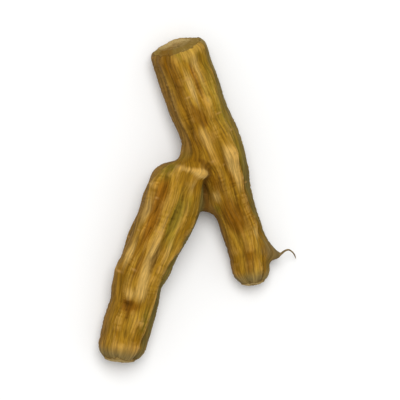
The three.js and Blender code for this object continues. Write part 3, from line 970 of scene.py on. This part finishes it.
soil_group, got, give = new_group(
    "Soil and wear", {"Near": "Float", "Far": "Float", "Place": "Vector", "Fray": "Float"},
    {"Soil": "Float", "Wear": "Float"})
tree = soil_group
blots = add(tree, "ShaderNodeTexNoise", {
    "Vector": got["Place"], "Scale": 1.3, "Detail": 4.0, "Roughness": 0.65})
stands = sum_up(tree, "MULTIPLY_ADD", got["Near"], NEAR_WEIGHT, frayed(tree, got["Far"], blots, got["Fray"]))
tree.links.new(between(tree, stands, SOIL_FROM, SOIL_FULL), give["Soil"])
tree.links.new(between(tree, stands, WEAR_FROM, WEAR_FULL), give["Wear"])
print(soil_group.name, "has", len(tree.nodes), "nodes")

# %% [markdown]
# ### Cut flesh
# A cut shows wood in the middle, darkest at its heart, and the bark round it. The cambium ring
# between them is browner, fine rays run outwards, and the bark is spotted with orange drops of
# dried sap. All of this lies on circles and spokes, so the group works on places within the limb.

# %% Group: cut flesh
HEART = {"edge": 0.36, "full": 0.12, "strength": 0.6}  # shares of the limb's radius
RAYS = {"fineness": 9.0, "from": 0.5, "full": 0.68, "strength": 0.4}  # from and full are values of noise
CAMBIUM_RING = {"breadth": 0.1, "strength": 0.4}
SAP_DROPS = {"edge": 0.22, "full": 0.1, "strength": 0.6}  # distances from a drop's middle
OUT_OF_ROUND = 0.3  # how far the blots push the rings about
RAYS_RAISED = 0.5  # how much the rays count in the relief, where the blots count 1

flesh_group, got, give = new_group(
    "Cut flesh", {"Face": "Vector", "Wood": "Color", "Bark": "Color", "Ring": "Color", "Sap": "Color"},
    {"Colour": "Color", "Grain": "Float"})
tree = flesh_group
flat = add(tree, "ShaderNodeVectorMath", {0: got["Face"], 1: (1.0, 1.0, 0.0)}, operation="MULTIPLY")
blur = add(tree, "ShaderNodeTexNoise", {"Vector": flat, "Scale": 5.0, "Detail": 3.0, "Roughness": 0.6})
radius = add(tree, "ShaderNodeVectorMath", {0: flat}, output="Value", operation="LENGTH")
radius = frayed(tree, radius, blur, OUT_OF_ROUND)
direction = add(tree, "ShaderNodeVectorMath", {0: flat}, operation="NORMALIZE")
spokes = add(tree, "ShaderNodeVectorMath", {0: direction, 1: (RAYS["fineness"],) * 3}, operation="MULTIPLY")
rays = add(tree, "ShaderNodeTexNoise", {"Vector": spokes, "Scale": 1.6, "Detail": 4.0, "Roughness": 0.7})
drops = add(tree, "ShaderNodeTexVoronoi", {"Vector": flat, "Scale": 9.0}, output="Distance")

breadth = CAMBIUM_RING["breadth"]
in_bark = between(tree, radius, CAMBIUM - breadth, CAMBIUM + breadth)
in_heart = between(tree, radius, HEART["edge"], HEART["full"], 0.0, HEART["strength"])
on_ray = between(tree, rays, RAYS["from"], RAYS["full"], 0.0, RAYS["strength"])
off_ring = sum_up(tree, "ABSOLUTE", sum_up(tree, "SUBTRACT", radius, CAMBIUM))
on_ring = between(tree, off_ring, breadth, 0.0, 0.0, CAMBIUM_RING["strength"])
in_drop = between(tree, drops, SAP_DROPS["edge"], SAP_DROPS["full"], 0.0, SAP_DROPS["strength"])
past_ring = between(tree, radius, CAMBIUM + breadth / 2, CAMBIUM + breadth)
base = colour_mix(tree, in_bark, got["Wood"], got["Bark"])
for mask in (in_heart, on_ray, on_ring):
    base = colour_mix(tree, mask, base, got["Ring"])
base = colour_mix(tree, sum_up(tree, "MULTIPLY", in_drop, past_ring), base, got["Sap"])
tree.links.new(base, give["Colour"])
tree.links.new(sum_up(tree, "MULTIPLY_ADD", rays, RAYS_RAISED, blur), give["Grain"])
print(flesh_group.name, "has", len(tree.nodes), "nodes")

# %% [markdown]
# ### Dried skin
# The colour is laid in layers: the skin's own golden tan with its patches and streaks, pale where it is
# rubbed, then painted shade on the flanks, painted grey shade on the rims of the feet, brown on the
# rootlet's stump and painted shade in the crotch. Next come hairlines, light on raised fibres and dark
# between them, and soil in the folds. Last are the pores, the scars and the cut ends, where the skin is gone.
# The cuts have weathered: they are tan and blotched, and a dark line of cork runs round them.

# %% Colours, most with the strength at which they are laid
GOLD, DEEP_GOLD = rgb("A17A22"), rgb("855D0C")
TONES = {"olive": (rgb("78681B"), 0.75), "orange": (rgb("88560B"), 0.85), "brown": (rgb("734905"), 0.78),
         "straw": (rgb("A88A30"), 0.8), "pale": (rgb("CAA459"), 0.88)}
STREAK_BROWN, STREAK_STRENGTH = rgb("6F4B18"), 0.3
RUBBED, WEAR_STRENGTH = rgb("BD9040"), 0.5
# Painted shade on the flanks, brown on the left and olive on the right
FLANK_SHADE_BROWN, FLANK_SHADE_OLIVE, FLANK_SHADE_STRENGTH = rgb("6C5028"), rgb("5F5733"), 0.75  # left and right
# Painted grey shade on the rims of the feet
FOOT_RIM_SHADE, FOOT_RIM_SHADE_STRENGTH = rgb("7C6D44"), 0.75
STUMP_BROWN, STUMP_STRENGTH = rgb("6F5D3B"), 0.75
# Painted shade in the crevice of the crotch
CROTCH_SHADE_BROWN, CROTCH_SHADE_STRENGTH = rgb("623C04"), 0.62
SOIL, SOIL_STRENGTH = rgb("452A04"), 0.58
PORE_TAN, PORE_STRENGTH = rgb("B2874A"), 0.6
SCAR = rgb("B8934C")
FLESH = {"Wood": rgb("AE9560"), "Bark": rgb("937A44"), "Ring": rgb("7E602F"), "Sap": rgb("7C521C")}
FLESH_SOIL, FLESH_SOIL_STRENGTH = rgb("6E4C1C"), 0.6
FLESH_STAINS = {"olive": (rgb("6E561C"), 0.75), "brown": (TONES["brown"][0], 0.5)}
CORK_STRENGTH = 0.55

# %% Streaks, hairlines, soil and wear
dried_skin, tree, shader = new_material("dried_skin", {"Specular IOR Level": 0.05})
side_part = from_mesh(tree, "side_share")
grains = {"main": from_mesh(tree, "grain_main", "Vector"), "side": from_mesh(tree, "grain_side", "Vector")}


def on_both(group, inputs, outputs):
    """A group's outputs, worked out along the grain of each limb and joined at the fork."""
    each = [place_group(tree, group, {"Place": grains[limb], **inputs}) for limb in grains]
    return [value_mix(tree, side_part, each[0][name], each[1][name]) for name in outputs]


broad_streaks, = on_both(grain_group, {"Fineness": 0.9, "Stretch": 4.0}, ["Streaks"])
fine_streaks, threads = on_both(grain_group, {"Fineness": 3.6, "Stretch": 9.0}, ["Streaks", "Threads"])
hairlines, = on_both(grain_group, {"Fineness": 7.5, "Stretch": 11.0}, ["Streaks"])
soil, wear = on_both(
    soil_group, {"Near": from_mesh(tree, "stand_near"), "Far": from_mesh(tree, "stand_far"), "Fray": 0.12},
    ["Soil", "Wear"])

# %% The skin's own colour, its patches, and what wear does to it
PATCH_FRAY = 0.9
WEAR_ON_BROWN = 0.15  # strength of the wear where the skin is stained brown
WEAR_ON_STUMP = 0.15  # share of the wear that reaches the rootlet's stump

colour = colour_mix(tree, between(tree, broad_streaks, 0.35, 0.65), DEEP_GOLD, GOLD)
for name, (tone, strength) in TONES.items():
    patch = frayed(tree, from_mesh(tree, name), fine_streaks, PATCH_FRAY)
    colour = colour_mix(tree, between(tree, patch, 0.1, 0.9, 0.0, strength), colour, tone)
dark_streaks = between(tree, fine_streaks, 0.55, 0.75, 0.0, STREAK_STRENGTH)
colour = colour_mix(tree, dark_streaks, colour, STREAK_BROWN)
stump_share = from_mesh(tree, "rootlet_share")
unstained = between(tree, from_mesh(tree, "brown"), 0.0, 1.0, WEAR_STRENGTH, WEAR_ON_BROWN)
within_reach = between(tree, stump_share, 0.1, 0.7, 1.0, WEAR_ON_STUMP)
worn = sum_up(tree, "MULTIPLY", sum_up(tree, "MULTIPLY", wear, unstained), within_reach)
colour = colour_mix(tree, worn, colour, RUBBED)

# %% Painted shade on the flanks, the feet's rims and the crotch, and the stump's brown
FLANK_SHADE_STREAKS, STUMP_FRAY, CROTCH_SHADE_FRAY = 1.5, 1.6, 0.8

# Painted shade on the flanks, broken up by the streaks, brown on the left and olive on the right
streakiness = sum_up(tree, "SUBTRACT", sum_up(tree, "ADD", broad_streaks, fine_streaks), 1.0)
flank_shade = sum_up(tree, "MULTIPLY_ADD", streakiness, FLANK_SHADE_STREAKS, from_mesh(tree, "flank"))
to_right = add(tree, "ShaderNodeSeparateXYZ", {0: from_mesh(tree, "face", "Vector")})
flank_shade_tone = colour_mix(tree, between(tree, to_right, -0.5, 0.5), FLANK_SHADE_BROWN, FLANK_SHADE_OLIVE)
colour = colour_mix(tree, between(tree, flank_shade, 0.05, 1.05, 0.0, FLANK_SHADE_STRENGTH), colour, flank_shade_tone)
# Painted grey shade on the rims of the feet
foot_shade_share = sum_up(tree, "MULTIPLY", from_mesh(tree, "foot"), FOOT_RIM_SHADE_STRENGTH)
colour = colour_mix(tree, foot_shade_share, colour, FOOT_RIM_SHADE)
stump = frayed(tree, stump_share, fine_streaks, STUMP_FRAY)
colour = colour_mix(tree, between(tree, stump, 0.35, 1.05, 0.0, STUMP_STRENGTH), colour, STUMP_BROWN)
# Painted shade in the crevice between the limbs
crotch_shade_mask = from_mesh(tree, "crotch")
crotch_shade = frayed(tree, crotch_shade_mask, fine_streaks, CROTCH_SHADE_FRAY)
colour = colour_mix(tree, between(tree, crotch_shade, 0.15, 0.85, 0.0, CROTCH_SHADE_STRENGTH), colour, CROTCH_SHADE_BROWN)

# %% Hairlines, soil, pores and scars
DARKEST_LINE, LIGHTEST_LINE = 0.68, 1.27  # what the colour is multiplied by
# In the crotch the soil is weaker, as painted shade darkens the skin there already
SOIL_IN_CROTCH = 0.35  # strength of the soil there, where the skin is brown already

lines = between(tree, hairlines, 0.34, 0.68, DARKEST_LINE, LIGHTEST_LINE)
colour = colour_mix(tree, 1.0, colour, lines, "MULTIPLY")
soil_strength = between(tree, crotch_shade_mask, 0.2, 0.8, SOIL_STRENGTH, SOIL_IN_CROTCH)
colour = colour_mix(tree, sum_up(tree, "MULTIPLY", soil, soil_strength), colour, SOIL)
on_pore = sum_up(tree, "MULTIPLY", from_mesh(tree, "pored"), PORE_STRENGTH)
colour = colour_mix(tree, on_pore, colour, PORE_TAN)
colour = colour_mix(tree, from_mesh(tree, "torn"), colour, SCAR)

# %% Cut ends, with the cork round them
FLESH_BLOTS = {"amount": 1.8, "middle": 0.75}  # the flesh's grain is blots and half the rays

flesh = place_group(tree, flesh_group, {"Face": from_mesh(tree, "face", "Vector"), **FLESH})
in_cracks = sum_up(tree, "MULTIPLY", soil, FLESH_SOIL_STRENGTH)
flesh_colour = colour_mix(tree, in_cracks, flesh["Colour"], FLESH_SOIL)
for name, (tone, strength) in FLESH_STAINS.items():
    blotched = frayed(tree, from_mesh(tree, name), flesh["Grain"], **FLESH_BLOTS)
    flesh_colour = colour_mix(tree, between(tree, blotched, 0.1, 1.0, 0.0, strength), flesh_colour, tone)
cut_share = from_mesh(tree, "cut")
colour = colour_mix(tree, cut_share, colour, flesh_colour)
# The product is a quarter where the share is a half, at the cut's edge, and nought to both sides
cork = sum_up(tree, "MULTIPLY", cut_share, sum_up(tree, "SUBTRACT", 1.0, cut_share))
colour = colour_mix(tree, sum_up(tree, "MULTIPLY", cork, 4 * CORK_STRENGTH), colour, SOIL)
tree.links.new(colour, shader.inputs["Base Color"])

# %% Roughness and raised fibres
ROUGHNESS = {"skin": 0.66, "worn": -0.12, "soiled": 0.2, "flesh": 0.85}  # the middle two are added
FIBRE_MM, FIBRE_STRENGTH = 0.06, 0.8

roughness = sum_up(tree, "MULTIPLY_ADD", wear, ROUGHNESS["worn"], ROUGHNESS["skin"])
roughness = sum_up(tree, "MULTIPLY_ADD", soil, ROUGHNESS["soiled"], roughness)
tree.links.new(value_mix(tree, cut_share, roughness, ROUGHNESS["flesh"]), shader.inputs["Roughness"])
fibres = value_mix(tree, 0.5, threads, hairlines)
raised = {"Strength": FIBRE_STRENGTH, "Distance": FIBRE_MM * MM,
          "Height": value_mix(tree, cut_share, fibres, flesh["Grain"])}
tree.links.new(add(tree, "ShaderNodeBump", raised), shader.inputs["Normal"])
skin.data.materials.clear()
skin.data.materials.append(dried_skin)
print("dried skin has", len(tree.nodes), "nodes")

# %% [markdown]
# ### Dried thread
# A thread this thin has lost its skin. It is greyer than the root, and darker where it is knotted, so
# the same streaks are used with smaller waves.

# %% Material: dried thread
THREAD_GREY, KNOT_BROWN = rgb("8F7A50"), rgb("5F4A26")
KNOT_MM, KNOT_STRENGTH = 0.01, 0.7

dried_thread, tree, shader = new_material("dried_thread", {"Specular IOR Level": 0.2, "Roughness": 0.8})
at = add(tree, "ShaderNodeTexCoord", output="Object")
in_mm = add(tree, "ShaderNodeVectorMath", {0: at, 1: (1 / MM,) * 3}, operation="MULTIPLY")
knots = place_group(tree, grain_group, {"Place": in_mm, "Fineness": 4.0, "Stretch": 1.0})
colour = colour_mix(tree, between(tree, knots["Streaks"], 0.35, 0.65), KNOT_BROWN, THREAD_GREY)
tree.links.new(colour, shader.inputs["Base Color"])
raised = {"Strength": KNOT_STRENGTH, "Distance": KNOT_MM * MM, "Height": knots["Threads"]}
tree.links.new(add(tree, "ShaderNodeBump", raised), shader.inputs["Normal"])
thread.data.materials.append(dried_thread)
print("dried thread has", len(tree.nodes), "nodes")

# %% [markdown]
# ## Floor, light and camera
# The piece lies on a plain pale floor in even light, with one large soft lamp high above its crown
# end. The camera looks down from above and a little from the left, as in the photograph, through a
# long lens. Lengths are in metres from here on, as Blender has them.

# %% Floor
FLOOR_SIDE = 3.0
FLOOR_WHITE = (0.9, 0.9, 0.895, 1.0)

corners = FLOOR_SIDE / 2 * np.array([(-1, -1, 0), (1, -1, 0), (1, 1, 0), (-1, 1, 0)])
floor = mesh_object("floor", corners, [(0, 1, 2, 3)])
pale_floor, _, _ = new_material("pale_floor", {"Base Color": FLOOR_WHITE, "Roughness": 0.9})
floor.data.materials.append(pale_floor)
print("floor:", FLOOR_SIDE, "m across")

# %% World and lamp
WORLD_WHITE, WORLD_STRENGTH = (1.0, 1.0, 1.0, 1.0), 0.66
LAMP_PLACE, LAMP_SIZE, LAMP_WATTS = Vector((-0.04, 0.24, 0.58)), 0.45, 2.5

world = bpy.data.worlds.new("studio")
bpy.context.scene.world = world
world.use_nodes = True
fill(world.node_tree, world.node_tree.nodes["Background"], {"Color": WORLD_WHITE, "Strength": WORLD_STRENGTH})

lamp = bpy.data.lights.new("key_light", "AREA")
lamp.shape = "DISK"
lamp.size = LAMP_SIZE
lamp.energy = LAMP_WATTS
key_light = put("key_light", lamp)
key_light.location = LAMP_PLACE
key_light.rotation_mode = "QUATERNION"
key_light.rotation_quaternion = LAMP_PLACE.to_track_quat("Z", "Y")
key_light.visible_camera = False
print("lamp:", round(LAMP_PLACE.length, 2), "m from the piece")

# %% Camera
CAMERA_OFFSET = Vector((-0.083, 0.034, 0.6))  # from the middle of the piece
FIELD = 0.0305  # width and height of what the camera sees there
CLIP_START = 0.01

middle = (cad_box[0] + cad_box[1]) / 2
back = CAMERA_OFFSET.normalized()
right = Vector((0, 1, 0)).cross(back).normalized()
turned = Matrix((right, back.cross(right), back)).transposed().to_4x4()
lens_body = bpy.data.cameras.new("camera")
lens_body.lens = lens_body.sensor_width * CAMERA_OFFSET.length / FIELD
lens_body.clip_start = CLIP_START
camera = put("camera", lens_body)
camera.matrix_world = Matrix.Translation(middle + CAMERA_OFFSET) @ turned
bpy.context.scene.camera = camera
bpy.context.scene.view_settings.view_transform = "Standard"
print("camera:", round(lens_body.lens), "mm lens")
